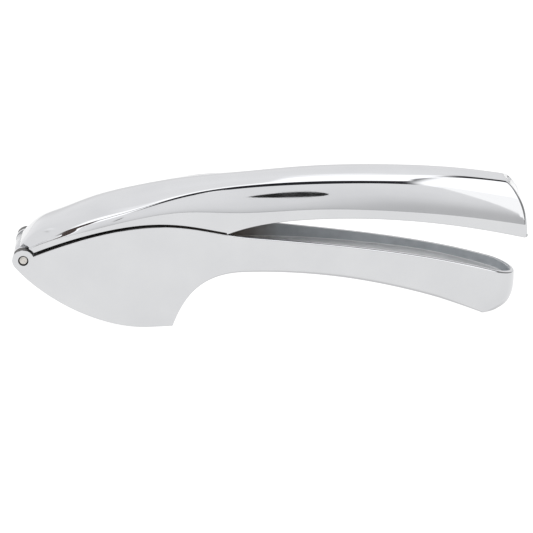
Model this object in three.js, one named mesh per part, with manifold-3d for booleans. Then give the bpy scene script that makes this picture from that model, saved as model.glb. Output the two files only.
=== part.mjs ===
// A garlic press: two die-cast levers that share one hinge pin, a plunger hung inside the
// upper lever, and a perforated basket dropped into the head of the lower one.
// Millimetres, +Z up. X runs along the press from the hinge (-X) to the handle ends (+X),
// Y runs across it, and Z = 0 is the surface that the closed press rests on.
import * as THREE from "three";
import { mergeVertices } from "three/addons/utils/BufferGeometryUtils.js";
import Module from "manifold-3d";

const wasm = await Module();
wasm.setup();

// ---- driving dimensions ----

const HINGE = new THREE.Vector2(-87.6, 25.7); // axis of the hinge pin, in X and Z
const EAR_RADIUS = 4; // round hinge end of each cheek of the lower lever
const EAR_INNER = 10.5; // half of the slot between the two ears
const EAR_SWEEP_CLEARANCE = 4.9; // radius kept free round the ears by the upper lever
const BARREL_RADIUS = 3.8; // hinge barrel of the upper lever, between the ears
const BARREL_HALF = 10.1;
const HINGE_PIN_RADIUS = 1.5;
const HINGE_HOLE_RADIUS = 1.85;
const HINGE_PIN_HALF = 15.2;

const WALL = 2.3; // casting thickness of the levers
const RIM_GAP_HINGE = 1.1; // slit between the levers' rims, at the hinge
const RIM_GAP_HEEL = 0.65; // and at the heel of the upper head
const HEEL_X = -15; // where the upper head ends and its handle rises from the rim
const NOSE_X = 87.9; // far end of the lower handle
const NOSE_RADIUS = 9.7; // its round end, seen from above
const NOSE_RIM = 13.2; // and the height of its rim there
const CHANNEL_WALL = 1.5; // sides of the finger channel along the lower handle

// The upper handle ends in a wall that bows back towards its top.
const END = { back: 92.1, level: 28.3, bow: 0.00083 };
const LOFT_START = -89; // the upper lever's skin runs from here to past its end
const LOFT_END = 93;
const HOLLOW_START = -79.5;
const CEILING = 2.6; // thickness of the upper lever along its ridge

const PIVOT = new THREE.Vector2(-55, 38); // axis of the plunger's pin
const PLUNGER_PIN_RADIUS = 1.25;
const PLUNGER_HOLE_RADIUS = 1.6;
const LUG_INNER = 4.5; // the two lugs that carry the plunger's pin
const LUG_OUTER = 7.5;
const LUG_TOP = 43.6; // where they run into the head's ceiling
const BOSS_RADIUS = 3.4;
const BOSS_HALF = 4.1;

const CHAMBER_LEFT = -69; // inside of the basket at its floor, in X
const CHAMBER_RIGHT = -41;
const CHAMBER_HALF = 11.4; // and across
const CHAMBER_CORNER = 3;
const CHAMBER_LEAN = 0.0147; // the hinge-side wall leans out by this times height squared
const BASKET_WALL = 0.8;
const BASKET_BASE = 12.7;
const BASKET_TOP = 29.1;
const FLANGE = { left: -78.6, right: -38.8, half: 13.2, thick: 0.8 };
const SIEVE_HOLE_RADIUS = 0.85;
const SIEVE_PITCH = 2.6;
const LEDGE = { top: 28, bottom: 26, left: -74.9, right: -39.8, half: 12.6 };
const WELL = { left: -79, right: -38.4, lowerLeft: -76.5 }; // inside of the head, above and below

const FOOT = { left: -68.2, right: -41.8, half: 10.9, bottom: 14.4, top: 17.4, corner: 2.6 };
const WEB = { inset: 2, shoulder: 30, half: 1.3 }; // the plunger's thin web above its foot
const STEM_HALF = 2.6;

const OUT = 60; // far enough to pass out of the part upwards
const BESIDE = 20; // and past either side of it
const BELOW = -10;
const BEHIND = -100;

// Half widths across the press: [x, half width].
const lowerHalf = spline([
  [-92, 15.2], [-66, 16.5], [-48, 16.4], [-30, 14.9], [-12, 12.7], [12, 11.3], [45, 10.8],
  [88, NOSE_RADIUS],
]);
const upperHalf = spline([
  [-92, 15.2], [-66, 16.5], [-48, 16.4], [-30, 14.9], [-12, 13], [15, 12.1], [45, 12.3],
  [70, 12], [93, 11.6],
]);

// The upper lever's lines along its length: the ridge down its middle, the shoulder where the
// crowned top turns, the crease below it, and the top of the flat band along its lower edge.
const LINE_X = [-90, -84, -76, -66, -48, -30, -12, 15, 45, 70, 93];
const ridgeZ = line(28.65, 34.9, 38.8, 42.8, 47.5, 50.2, 51.6, 53.2, 53.1, 51.1, 47.2);
const shoulderHalf = line(9, 9, 9.5, 10.2, 9.4, 7.2, 5.9, 6.5, 6.6, 5.8, 5.2);
const shoulderZ = line(28.4, 34.2, 37.7, 41.1, 45.6, 48.9, 50.5, 51.9, 51.5, 49.9, 46.3);
const creaseHalf = line(13, 13.5, 14.6, 15.6, 15.3, 13, 10.1, 9.4, 9.6, 8.7, 8.2);
const creaseZ = line(28, 31, 34.6, 38.2, 43, 47.3, 49.2, 50, 49.5, 47, 42.8);
const bandZ = line(27.4, 30.5, 33.4, 35.9, 39.9, 41.7, 40.4, 40.6, 39.2, 36.3, 32.3);

// ---- outlines in the X-Z plane ----

// Side outlines are chains of cubic Bezier arcs: an end point, two handles, an end point, and so on.
const RIM = chain([
  [-84, 27.3], [-70, 32.8], [-54, 37], [-41.5, 37], [-27.5, 37.1], [-18, 32.5], [-6, 30.9],
  [24, 27.1], [58, 23.5], [NOSE_X, NOSE_RIM],
]);
const NOSE = chain([[80, 0], [86.6, 0.3], [NOSE_X, 5], [NOSE_X, NOSE_RIM]]);
const UNDERSIDE = chain([
  [-35.3, 0], [-29.8, 14], [-21.5, 18.9], [-8, 18.15], [20, 17.2], [48, 11.6], [75, 0.35],
]);
const BELLY = chain([[-43.5, 0], [-60, 0], [-80, 10.4], earPoint(220).toArray()]);
const CHANNEL_FLOOR = chain([
  [-36, 11], [-33.5, 17], [-27, 24.9], [-8, 24.9], [10, 24.9], [24, 23.3], [44, 20.5],
  [60, 18.2], [72, 14.6], [NOSE_X - CHANNEL_WALL, 9.8],
]);
const HANDLE_EDGE = chain([
  [HEEL_X, 32.7], [-9, 34.6], [0.5, 37.2], [22, 37.25], [46, 37.3], [69, 34], [94, 27.5],
]);

// A natural cubic spline through the stations, held level past both ends.
function spline(stations) {
  const x = stations.map((station) => station[0]);
  const value = stations.map((station) => station[1]);
  const last = x.length - 1;
  const bend = new Array(last + 1).fill(0);
  const rest = new Array(last + 1).fill(0);
  for (let i = 1; i < last; i++) {
    const share = (x[i] - x[i - 1]) / (x[i + 1] - x[i - 1]);
    const riseAfter = (value[i + 1] - value[i]) / (x[i + 1] - x[i]);
    const riseBefore = (value[i] - value[i - 1]) / (x[i] - x[i - 1]);
    const turning = (6 * (riseAfter - riseBefore)) / (x[i + 1] - x[i - 1]);
    const pivot = share * bend[i - 1] + 2;
    bend[i] = (share - 1) / pivot;
    rest[i] = (turning - share * rest[i - 1]) / pivot;
  }
  for (let i = last - 1; i >= 0; i--) {
    bend[i] = bend[i] * bend[i + 1] + rest[i];
  }
  return (at) => {
    const where = Math.min(Math.max(at, x[0]), x[last]);
    let i = 1;
    while (x[i] < where) i++;
    const span = x[i] - x[i - 1];
    const a = (x[i] - where) / span;
    const b = 1 - a;
    const bow = ((a ** 3 - a) * bend[i - 1] + (b ** 3 - b) * bend[i]) * (span ** 2 / 6);
    return a * value[i - 1] + b * value[i] + bow;
  };
}

// One of the upper lever's long lines, through its value at each of the line stations.
function line(...values) {
  return spline(values.map((value, i) => [LINE_X[i], value]));
}

function chain(points) {
  const arcs = [];
  const at = points.map((point) => new THREE.Vector2(...point));
  for (let i = 0; i + 3 < at.length; i += 3) {
    arcs.push(new THREE.CubicBezierCurve(at[i], at[i + 1], at[i + 2], at[i + 3]));
  }
  return arcs;
}

// Points along a chain, without its last one, so that chains can follow each other.
function walk(arcs, steps) {
  return arcs.flatMap((arc) => arc.getPoints(steps).slice(0, -1));
}

function walkBack(arcs, steps) {
  const forward = [...walk(arcs, steps), arcs[arcs.length - 1].v3.clone()];
  return forward.reverse().slice(0, -1);
}

// Height of a chain at a given X; every chain used here runs on towards +X.
function heightOn(arcs, x) {
  const arc = arcs.find((one) => x <= one.v3.x) ?? arcs[arcs.length - 1];
  let low = 0;
  let high = 1;
  for (let i = 0; i < 40; i++) {
    const middle = (low + high) / 2;
    if (arc.getPoint(middle).x < x) low = middle;
    else high = middle;
  }
  return arc.getPoint(low).y;
}

function earPoint(degrees) {
  const angle = THREE.MathUtils.degToRad(degrees);
  return new THREE.Vector2(HINGE.x + EAR_RADIUS * Math.cos(angle), HINGE.y + EAR_RADIUS * Math.sin(angle));
}

// ---- solids ----

function solid(geometry) {
  const bare = geometry.clone();
  bare.deleteAttribute("normal");
  bare.deleteAttribute("uv");
  const merged = mergeVertices(bare, 1e-4);
  const triVerts = new Uint32Array(merged.index.array);
  const vertProperties = new Float32Array(merged.attributes.position.array);
  return new wasm.Manifold(new wasm.Mesh({ numProp: 3, vertProperties, triVerts }));
}

function geometryOf(manifold) {
  const mesh = manifold.getMesh();
  const geometry = new THREE.BufferGeometry();
  const positions = new Float32Array(mesh.vertProperties);
  geometry.setAttribute("position", new THREE.BufferAttribute(positions, 3));
  geometry.setIndex(new THREE.BufferAttribute(new Uint32Array(mesh.triVerts), 1));
  geometry.computeVertexNormals();
  return geometry;
}

// A side outline (X, Z) run across the press from y0 to y1.
function sideSlab(outline, y0, y1) {
  const shape = new THREE.Shape(outline);
  const geometry = new THREE.ExtrudeGeometry(shape, { depth: y1 - y0, bevelEnabled: false });
  geometry.rotateX(Math.PI / 2);
  geometry.translate(0, y1, 0);
  return solid(geometry);
}

// A plan outline (X, Y) run upwards from z0 to z1.
function planSlab(outline, z0, z1) {
  const shape = new THREE.Shape(outline);
  const geometry = new THREE.ExtrudeGeometry(shape, { depth: z1 - z0, bevelEnabled: false });
  geometry.translate(0, 0, z0);
  return solid(geometry);
}

// A round bar across the press, centred on an axis given in X and Z.
function crossBar(axis, radius, y0, y1, sides = 32) {
  const geometry = new THREE.CylinderGeometry(radius, radius, y1 - y0, sides);
  geometry.translate(axis.x, (y0 + y1) / 2, axis.y);
  return solid(geometry);
}

function boxFrom(x0, x1, y0, y1, z0, z1) {
  const geometry = new THREE.BoxGeometry(x1 - x0, y1 - y0, z1 - z0);
  geometry.translate((x0 + x1) / 2, (y0 + y1) / 2, (z0 + z1) / 2);
  return solid(geometry);
}

function corners(...pairs) {
  return pairs.map(([x, z]) => new THREE.Vector2(x, z));
}

// A solid skinned over closed rings of equal length; its two end rings are filled in.
function skin(given) {
  const firstFlat = given[0].map((point) => new THREE.Vector2(point.y, point.z));
  const clockwise = THREE.ShapeUtils.area(firstFlat) < 0;
  const rings = clockwise ? given.map((ring) => [...ring].reverse()) : given;
  const count = rings[0].length;
  const index = [];
  for (let r = 0; r + 1 < rings.length; r++) {
    for (let i = 0; i < count; i++) {
      const next = (i + 1) % count;
      const here = r * count;
      const there = here + count;
      index.push(here + i, here + next, there + next, here + i, there + next, there + i);
    }
  }
  const flat = rings[0].map((point) => new THREE.Vector2(point.y, point.z));
  const end = (rings.length - 1) * count;
  for (const [a, b, c] of THREE.ShapeUtils.triangulateShape(flat, [])) {
    index.push(a, c, b, end + a, end + b, end + c);
  }
  const positions = rings.flatMap((ring) => ring.flatMap((point) => point.toArray()));
  const geometry = new THREE.BufferGeometry();
  geometry.setAttribute("position", new THREE.Float32BufferAttribute(positions, 3));
  geometry.setIndex(index);
  return solid(geometry);
}

// Plan outline of the lower lever, set in from its sides by inset, with its round nose.
function lowerPlan(inset) {
  const centre = NOSE_X - NOSE_RADIUS;
  const sideSteps = 46;
  const side = [];
  for (let i = 0; i < sideSteps; i++) {
    const x = THREE.MathUtils.lerp(BEHIND, centre, i / sideSteps);
    side.push(new THREE.Vector2(x, lowerHalf(x) - inset));
  }
  const noseSteps = 16;
  const nose = [];
  for (let i = 0; i <= noseSteps; i++) {
    const angle = Math.PI / 2 - (Math.PI * i) / noseSteps;
    const radius = NOSE_RADIUS - inset;
    nose.push(new THREE.Vector2(centre + radius * Math.cos(angle), radius * Math.sin(angle)));
  }
  const other = side.map((point) => new THREE.Vector2(point.x, -point.y)).reverse();
  return [...side, ...nose, ...other];
}

// ---- lower lever ----

function lowerBody() {
  const ear = [];
  for (let degrees = 220; degrees >= 24; degrees -= 14) {
    ear.push(earPoint(degrees));
  }
  const outline = [
    ...walk(RIM, 16),
    ...walkBack(NOSE, 10),
    ...corners([80, 0], [75.6, 0]),
    ...walkBack(UNDERSIDE, 14),
    ...corners([-35.3, 0]),
    ...walk(BELLY, 16),
    ...ear,
  ];
  let body = sideSlab(outline, -BESIDE, BESIDE).intersect(planSlab(lowerPlan(0), BELOW, OUT));
  body = body.subtract(chamberWell()).subtract(handleChannel());
  return body.subtract(hingeSlot()).subtract(crossBar(HINGE, HINGE_HOLE_RADIUS, -BESIDE, BESIDE));
}

// The well in the head: wide above the ledge that carries the basket, narrower through the
// ledge, and wide again below it, open at the bottom.
function chamberWell() {
  const inside = planSlab(lowerPlan(WALL + 0.1), BELOW, OUT);
  const above = boxFrom(WELL.left, WELL.right, -BESIDE, BESIDE, LEDGE.top, OUT);
  const { left, right, half } = LEDGE;
  const through = boxFrom(left, right, -half, half, LEDGE.bottom - 1, LEDGE.top + 1);
  const outline = corners(
    [WELL.lowerLeft, LEDGE.bottom], [WELL.lowerLeft, 14.8], [-71, 10.4], [-71, BELOW],
    [WELL.right, BELOW], [WELL.right, LEDGE.bottom],
  );
  const below = sideSlab(outline, -BESIDE, BESIDE);
  return above.intersect(inside).add(through).add(below.intersect(inside));
}

function handleChannel() {
  const outline = [
    ...walk(CHANNEL_FLOOR, 14),
    ...corners([NOSE_X - CHANNEL_WALL, 9.8], [NOSE_X - CHANNEL_WALL, OUT], [-36, OUT]),
  ];
  const plan = planSlab(lowerPlan(CHANNEL_WALL), BELOW, OUT);
  return sideSlab(outline, -BESIDE, BESIDE).intersect(plan);
}

// Room between the ears for the upper lever's barrel and neck.
function hingeSlot() {
  const open = boxFrom(BEHIND, -84, -EAR_INNER, EAR_INNER, BELOW, OUT);
  const round = crossBar(HINGE, 4.6, -EAR_INNER, EAR_INNER);
  const forNeck = boxFrom(-85, -78, -EAR_INNER, EAR_INNER, 26, OUT);
  return open.add(round).add(forNeck);
}

// ---- upper lever ----

// An arc from one point of the half section to the next, each with the slope of its surface
// normal above the horizontal, in degrees.
function turn(from, fromSlope, to, toSlope, steps) {
  const reach = from.distanceTo(to) / 3;
  const heading = (slope) => {
    const angle = THREE.MathUtils.degToRad(slope);
    return new THREE.Vector2(Math.sin(angle), -Math.cos(angle)).multiplyScalar(reach);
  };
  const near = from.clone().add(heading(fromSlope));
  const far = to.clone().sub(heading(toSlope));
  return new THREE.CubicBezierCurve(from, near, far, to).getPoints(steps).slice(0, -1);
}

const shoulderSlope = spline([
  [-84, 80], [-66, 74], [-48, 72], [-12, 68], [45, 66], [70, 76], [93, 80],
]);
const shoulderSlopeBelow = spline([
  [-84, 80], [-66, 74], [-48, 72], [-12, 68], [45, 66], [70, 62], [93, 58],
]);
const creaseSlope = spline([
  [-84, 62], [-66, 54], [-48, 52], [-12, 52], [45, 55], [70, 46], [93, 42],
]);
const creaseSlopeBelow = spline([
  [-84, 30], [-66, 27], [-48, 26], [-12, 24], [45, 25], [70, 36], [93, 40],
]);
const BAND_SLOPE = 10;

function lowerEdge(x) {
  if (x > HEEL_X) return heightOn(HANDLE_EDGE, x);
  const share = (x - HINGE.x) / (HEEL_X - HINGE.x);
  return heightOn(RIM, x) + THREE.MathUtils.lerp(RIM_GAP_HINGE, RIM_GAP_HEEL, share);
}

// Closed section of the upper lever at x, from its ridge down one side and up the other.
function upperSection(x) {
  const ridge = new THREE.Vector2(0, ridgeZ(x));
  const shoulder = new THREE.Vector2(shoulderHalf(x), shoulderZ(x));
  const crease = new THREE.Vector2(creaseHalf(x), creaseZ(x));
  const band = new THREE.Vector2(upperHalf(x), bandZ(x));
  const edge = new THREE.Vector2(upperHalf(x), Math.min(lowerEdge(x), bandZ(x) - 0.3));
  const half = [
    ...turn(ridge, 90, shoulder, shoulderSlope(x), 4),
    ...turn(shoulder, shoulderSlopeBelow(x), crease, creaseSlope(x), 2),
    ...turn(crease, creaseSlopeBelow(x), band, BAND_SLOPE, 4),
    band,
    edge,
  ];
  return mirrored(half, x);
}

// Section of the hollow under the upper lever.
function hollowSection(x) {
  const half = corners(
    [0, ridgeZ(x) - CEILING],
    [shoulderHalf(x) - 0.8, shoulderZ(x) - 2.5],
    [creaseHalf(x) - 2, creaseZ(x) - 2.2],
    [upperHalf(x) - WALL, bandZ(x) - 0.6],
    [upperHalf(x) - WALL, 20],
  );
  return mirrored(half, x);
}

function mirrored(half, x) {
  const right = half.map((point) => new THREE.Vector3(x, point.x, point.y));
  const left = half.slice(1).map((point) => new THREE.Vector3(x, -point.x, point.y)).reverse();
  return [...right, ...left];
}

function sections(make, x0, x1, count) {
  return Array.from({ length: count + 1 }, (_, i) => make(THREE.MathUtils.lerp(x0, x1, i / count)));
}

// Everything short of the curved end of the upper handle, set back by a distance.
function shortOfEnd(setBack) {
  const outline = corners([BEHIND, BELOW], [END.back - setBack, BELOW]);
  for (let z = 26; z <= 56; z += 2) {
    const bow = END.bow * Math.max(0, z - END.level) ** 3;
    outline.push(new THREE.Vector2(END.back - setBack - bow, z));
  }
  outline.push(new THREE.Vector2(BEHIND, 56));
  return sideSlab(outline, -BESIDE, BESIDE);
}

function upperHandle() {
  const shell = [
    ...sections(upperSection, LOFT_START, HEEL_X - 0.1, 28),
    ...sections(upperSection, HEEL_X + 0.6, LOFT_END, 34),
  ];
  let body = skin(shell).intersect(shortOfEnd(0));
  for (const side of [-1, 1]) {
    const [y0, y1] = side < 0 ? [-BESIDE, -BARREL_HALF] : [BARREL_HALF, BESIDE];
    body = body.subtract(crossBar(HINGE, EAR_SWEEP_CLEARANCE, y0, y1));
  }
  const room = skin(sections(hollowSection, HOLLOW_START, LOFT_END, 40));
  const hollow = room.intersect(shortOfEnd(WALL));
  body = body.add(neck()).subtract(hollow.subtract(neck())).add(lugs());
  body = body.add(crossBar(HINGE, BARREL_RADIUS, -BARREL_HALF, BARREL_HALF));
  body = body.subtract(crossBar(HINGE, HINGE_HOLE_RADIUS, -BESIDE, BESIDE));
  return body.subtract(crossBar(PIVOT, PLUNGER_HOLE_RADIUS, -LUG_OUTER - 0.5, LUG_OUTER + 0.5, 24));
}

// The web that joins the barrel to the head.
function neck() {
  const outline = corners(
    [-88.6, 28.4], [-84, 31.5], [-79.6, 33], [-79.4, 30], [-81, 28.8], [-83.95, 26.2], [-86, 25],
  );
  return sideSlab(outline, -BARREL_HALF, BARREL_HALF);
}

// Two lugs under the head's ceiling that hold the plunger's pin.
function lugs() {
  const [left, right] = [PIVOT.x - BOSS_RADIUS, PIVOT.x + BOSS_RADIUS];
  const rise = boxFrom(left, right, -LUG_OUTER, LUG_OUTER, PIVOT.y, LUG_TOP);
  const round = crossBar(PIVOT, BOSS_RADIUS, -LUG_OUTER, LUG_OUTER);
  const between = boxFrom(PIVOT.x - 6, PIVOT.x + 6, -LUG_INNER, LUG_INNER, 30, 41.9);
  return rise.add(round).subtract(between);
}

// ---- plunger ----

function roundedPlan(x0, x1, half, radius) {
  const shape = new THREE.Shape();
  shape.absarc(x1 - radius, half - radius, radius, 0, Math.PI / 2);
  shape.absarc(x0 + radius, half - radius, radius, Math.PI / 2, Math.PI);
  shape.absarc(x0 + radius, -half + radius, radius, Math.PI, Math.PI * 1.5);
  shape.absarc(x1 - radius, -half + radius, radius, Math.PI * 1.5, Math.PI * 2);
  return shape.getPoints(5).slice(0, -1);
}

function plunger() {
  const footPlan = roundedPlan(FOOT.left, FOOT.right, FOOT.half, FOOT.corner);
  const foot = planSlab(footPlan, FOOT.bottom, FOOT.top);
  const [left, right] = [FOOT.left + WEB.inset, FOOT.right - WEB.inset];
  const [bossLeft, bossRight] = [PIVOT.x - BOSS_RADIUS, PIVOT.x + BOSS_RADIUS];
  const sunk = FOOT.top - 0.5; // the web and the stem start a little inside the foot
  const outline = corners(
    [left, sunk], [right, sunk], [right, FOOT.top + 1], [bossRight, WEB.shoulder],
    [bossRight, PIVOT.y], [bossLeft, PIVOT.y], [bossLeft, WEB.shoulder], [left, FOOT.top + 1],
  );
  const web = sideSlab(outline, -WEB.half, WEB.half);
  const stemLeft = PIVOT.x - STEM_HALF;
  const stem = boxFrom(stemLeft, PIVOT.x + STEM_HALF, -BOSS_HALF, BOSS_HALF, sunk, PIVOT.y);
  const boss = crossBar(PIVOT, BOSS_RADIUS, -BOSS_HALF, BOSS_HALF);
  const hole = crossBar(PIVOT, PLUNGER_HOLE_RADIUS, -BOSS_HALF - 1, BOSS_HALF + 1, 24);
  return foot.add(web).add(stem).add(boss).subtract(hole);
}

// ---- strainer basket ----

// Hinge-side wall of the chamber, which leans out along the path of the plunger's foot.
function leaningWall(z) {
  return CHAMBER_LEFT - CHAMBER_LEAN * (z - BASKET_BASE - BASKET_WALL) ** 2;
}

function chamberRings(grow, z0, z1, steps) {
  return Array.from({ length: steps + 1 }, (_, i) => {
    const z = THREE.MathUtils.lerp(z0, z1, i / steps);
    const left = leaningWall(z) - grow;
    const right = CHAMBER_RIGHT + grow;
    const outline = roundedPlan(left, right, CHAMBER_HALF + grow, CHAMBER_CORNER + grow);
    return outline.map((point) => new THREE.Vector3(point.x, point.y, z));
  });
}

// A skin over rings that lie one above the other.
function stacked(rings) {
  const turned = rings.map((ring) => {
    return ring.map((point) => new THREE.Vector3(point.z, point.x, point.y));
  });
  const geometry = geometryOf(skin(turned));
  const swap = new THREE.Matrix4().set(0, 1, 0, 0, 0, 0, 1, 0, 1, 0, 0, 0, 0, 0, 0, 1);
  geometry.applyMatrix4(swap);
  return solid(geometry);
}

function strainerBasket() {
  const floorTop = BASKET_BASE + BASKET_WALL;
  const outside = stacked(chamberRings(BASKET_WALL, BASKET_BASE, BASKET_TOP, 6));
  const inside = stacked(chamberRings(0, floorTop, BASKET_TOP + 1, 6));
  const flange = planSlab(
    roundedPlan(FLANGE.left, FLANGE.right, FLANGE.half, 2),
    BASKET_TOP - FLANGE.thick,
    BASKET_TOP,
  );
  return outside.add(flange).subtract(inside).subtract(sieveHoles());
}

// Staggered rows of drills through the basket's floor, as one solid.
function sieveHoles() {
  const rowStep = SIEVE_PITCH * Math.sin(Math.PI / 3);
  const middle = (CHAMBER_LEFT + CHAMBER_RIGHT) / 2;
  const drills = [];
  for (let row = -4; row <= 4; row++) {
    const shift = row % 2 === 0 ? 0 : SIEVE_PITCH / 2;
    for (let column = -5; column <= 5; column++) {
      const x = middle + column * SIEVE_PITCH + shift;
      const withinRow = Math.abs(x - middle) < 12.4 - (Math.abs(row) === 4 ? 1.6 : 0);
      if (!withinRow) continue;
      const drill = new THREE.CylinderGeometry(SIEVE_HOLE_RADIUS, SIEVE_HOLE_RADIUS, 3, 6);
      drill.rotateX(Math.PI / 2);
      drill.translate(x, row * rowStep, BASKET_BASE + BASKET_WALL / 2);
      drills.push(solid(drill));
    }
  }
  return drills.reduce((sum, drill) => sum.add(drill));
}

// ---- pins ----

function hingePin() {
  return crossBar(HINGE, HINGE_PIN_RADIUS, -HINGE_PIN_HALF, HINGE_PIN_HALF, 32);
}

function plungerPin() {
  return crossBar(PIVOT, PLUNGER_PIN_RADIUS, -LUG_OUTER + 0.2, LUG_OUTER - 0.2, 24);
}

// ---- assembly ----

const chrome = new THREE.MeshStandardMaterial({ color: 0xd9dadc, roughness: 0.08, metalness: 1 });
const castChrome = new THREE.MeshStandardMaterial({ color: 0xcfd0d2, roughness: 0.15, metalness: 1 });
const stainless = new THREE.MeshStandardMaterial({ color: 0xc3c4c4, roughness: 0.28, metalness: 1 });
const pinSteel = new THREE.MeshStandardMaterial({ color: 0xb9b4ac, roughness: 0.32, metalness: 1 });

function part(name, manifold, material) {
  const mesh = new THREE.Mesh(geometryOf(manifold), material);
  mesh.name = name;
  return mesh;
}

const press = new THREE.Group();
press.add(part("lower_body", lowerBody(), chrome));
press.add(part("hinge_pin", hingePin(), pinSteel));
press.add(part("strainer_basket", strainerBasket(), stainless));

const lever = new THREE.Group();
lever.add(part("upper_handle", upperHandle(), chrome));
lever.add(part("plunger_pin", plungerPin(), pinSteel));
press.add(lever);

press.add(part("plunger", plunger(), castChrome));

export default press;
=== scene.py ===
# A garlic press, dressed for the camera: polished chrome levers built as dense surfaces round
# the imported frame, a basket with drilled holes, a cast plunger and two steel pins.
# Lengths in this script are millimetres until a mesh is made, which turns them into metres.
import functools
import math

import bmesh
import bpy
from mathutils import Matrix, Vector
from mathutils.bvhtree import BVHTree
from mathutils.interpolate import poly_3d_calc


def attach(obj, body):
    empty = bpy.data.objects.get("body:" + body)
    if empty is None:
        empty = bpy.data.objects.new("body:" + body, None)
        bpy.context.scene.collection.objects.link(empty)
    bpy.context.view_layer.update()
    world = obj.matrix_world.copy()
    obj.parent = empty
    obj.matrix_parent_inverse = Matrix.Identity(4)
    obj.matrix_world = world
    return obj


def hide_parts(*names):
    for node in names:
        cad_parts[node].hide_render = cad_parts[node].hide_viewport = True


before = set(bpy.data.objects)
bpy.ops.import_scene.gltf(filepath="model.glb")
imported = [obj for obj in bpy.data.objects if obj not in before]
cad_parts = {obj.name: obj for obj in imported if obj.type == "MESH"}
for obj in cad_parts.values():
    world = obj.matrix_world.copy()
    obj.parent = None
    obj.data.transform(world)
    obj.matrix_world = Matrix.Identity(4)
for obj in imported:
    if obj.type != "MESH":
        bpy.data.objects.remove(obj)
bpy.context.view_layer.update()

MM = 0.001

# ---- driving dimensions ----

HINGE = (-87.6, 25.7)  # axis of the hinge pin, in X and Z
EAR_START = -84.0  # from here towards the hinge, the ears are round
EAR_RADIUS = 4.0
EAR_INNER = 10.5
EAR_SWEEP_CLEARANCE = 4.9  # radius of the room for the ears in the upper lever
SLOT_RADIUS = 4.6  # radius of the room for the barrel between the ears
BARREL_RADIUS = 3.8
BARREL_HALF = 10.1
HINGE_PIN_RADIUS = 1.5
HINGE_HOLE_RADIUS = 1.85
HINGE_PIN_HALF = 15.2

WALL = 2.3
RIM_GAP_HINGE = 1.1  # gap between the levers at the hinge
RIM_GAP_HEEL = 0.65  # and at the heel, where the handles part
HEEL_X = -15.0
LAND = (-43.5, -35.3)  # the flat land under the head, in X
TIP_START = 75.0  # from here on the lower handle's tip comes down to the table
TIP_REST = 75.6
TIP_HEIGHT = 0.35
NOSE_X = 87.9
NOSE_RADIUS = 9.7
NOSE_RIM = 13.2  # height of the rim at the lower handle's far end
NOSE_LEAN_FROM = 70.0  # the lower handle's end leans in below its rim from here on
CHANNEL_START = -36.0
CHANNEL_WALL = 1.5
CHANNEL_FILLET = 0.6
CHANNEL_MOUTH = 0.3  # how far the channel's walls flare at its rim
HOLLOW_START = -79.5  # the hollow under the upper lever
EDGE_ROUND = 0.35  # radius of the levers' small edges

PIVOT = (-55.0, 38.0)  # axis of the plunger's pin
PLUNGER_PIN_RADIUS = 1.25
PLUNGER_HOLE_RADIUS = 1.6
LUG_INNER = 4.5
LUG_OUTER = 7.5
BOSS_RADIUS = 3.4
BOSS_HALF = 4.1

CHAMBER_LEFT = -69.0
CHAMBER_RIGHT = -41.0
CHAMBER_HALF = 11.4
CHAMBER_LEAN = 0.0147
BASKET_WALL = 0.8
BASKET_BASE = 12.7
BASKET_TOP = 29.1
FLANGE = {"left": -78.6, "right": -38.8, "half": 13.2, "thick": 0.8}
SIEVE_HOLE_RADIUS = 0.85
SIEVE_PITCH = 2.6
LEDGE = {"top": 28.0, "bottom": 26.0, "left": -74.9, "right": -39.8, "half": 12.6}
WELL_LEFT = -79.0
WELL_LEFT_BELOW = -76.5  # the well's left wall under the ledge
WELL_RIGHT = -38.4

FOOT = {"left": -68.2, "right": -41.8, "half": 10.9, "bottom": 14.4, "top": 17.4, "corner": 2.6}

OUT = 60.0  # far enough to pass out of the part in any direction


# ---- curves ----


def spline(stations):
    """A natural cubic spline through (x, value) stations, held level past both ends."""
    x = [station[0] for station in stations]
    value = [station[1] for station in stations]
    last = len(x) - 1
    bend = [0.0] * (last + 1)
    rest = [0.0] * (last + 1)
    for i in range(1, last):
        share = (x[i] - x[i - 1]) / (x[i + 1] - x[i - 1])
        rise_after = (value[i + 1] - value[i]) / (x[i + 1] - x[i])
        rise_before = (value[i] - value[i - 1]) / (x[i] - x[i - 1])
        pivot = share * bend[i - 1] + 2
        bend[i] = (share - 1) / pivot
        turn = 6 * (rise_after - rise_before) / (x[i + 1] - x[i - 1])
        rest[i] = (turn - share * rest[i - 1]) / pivot
    for i in range(last - 1, -1, -1):
        bend[i] = bend[i] * bend[i + 1] + rest[i]

    def value_at(where):
        where = min(max(where, x[0]), x[last])
        i = 1
        while x[i] < where:
            i += 1
        span = x[i] - x[i - 1]
        a = (x[i] - where) / span
        b = 1 - a
        bow = ((a**3 - a) * bend[i - 1] + (b**3 - b) * bend[i]) * span**2 / 6
        return a * value[i - 1] + b * value[i] + bow

    return value_at


def chain(points):
    """Cubic Bezier arcs that follow each other: an end point, two handles, an end point."""
    return [points[i : i + 4] for i in range(0, len(points) - 3, 3)]


def on_arc(arc, t):
    s = 1 - t
    weights = (s**3, 3 * s * s * t, 3 * s * t * t, t**3)
    return tuple(sum(w * p[k] for w, p in zip(weights, arc)) for k in (0, 1))


def solve(arcs, wanted, axis):
    """The point where a chain that only grows along an axis reaches a wanted value."""
    arc = next((one for one in arcs if wanted <= one[3][axis]), arcs[-1])
    low, high = 0.0, 1.0
    for _ in range(44):
        middle = (low + high) / 2
        if on_arc(arc, middle)[axis] < wanted:
            low = middle
        else:
            high = middle
    return on_arc(arc, low)


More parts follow.
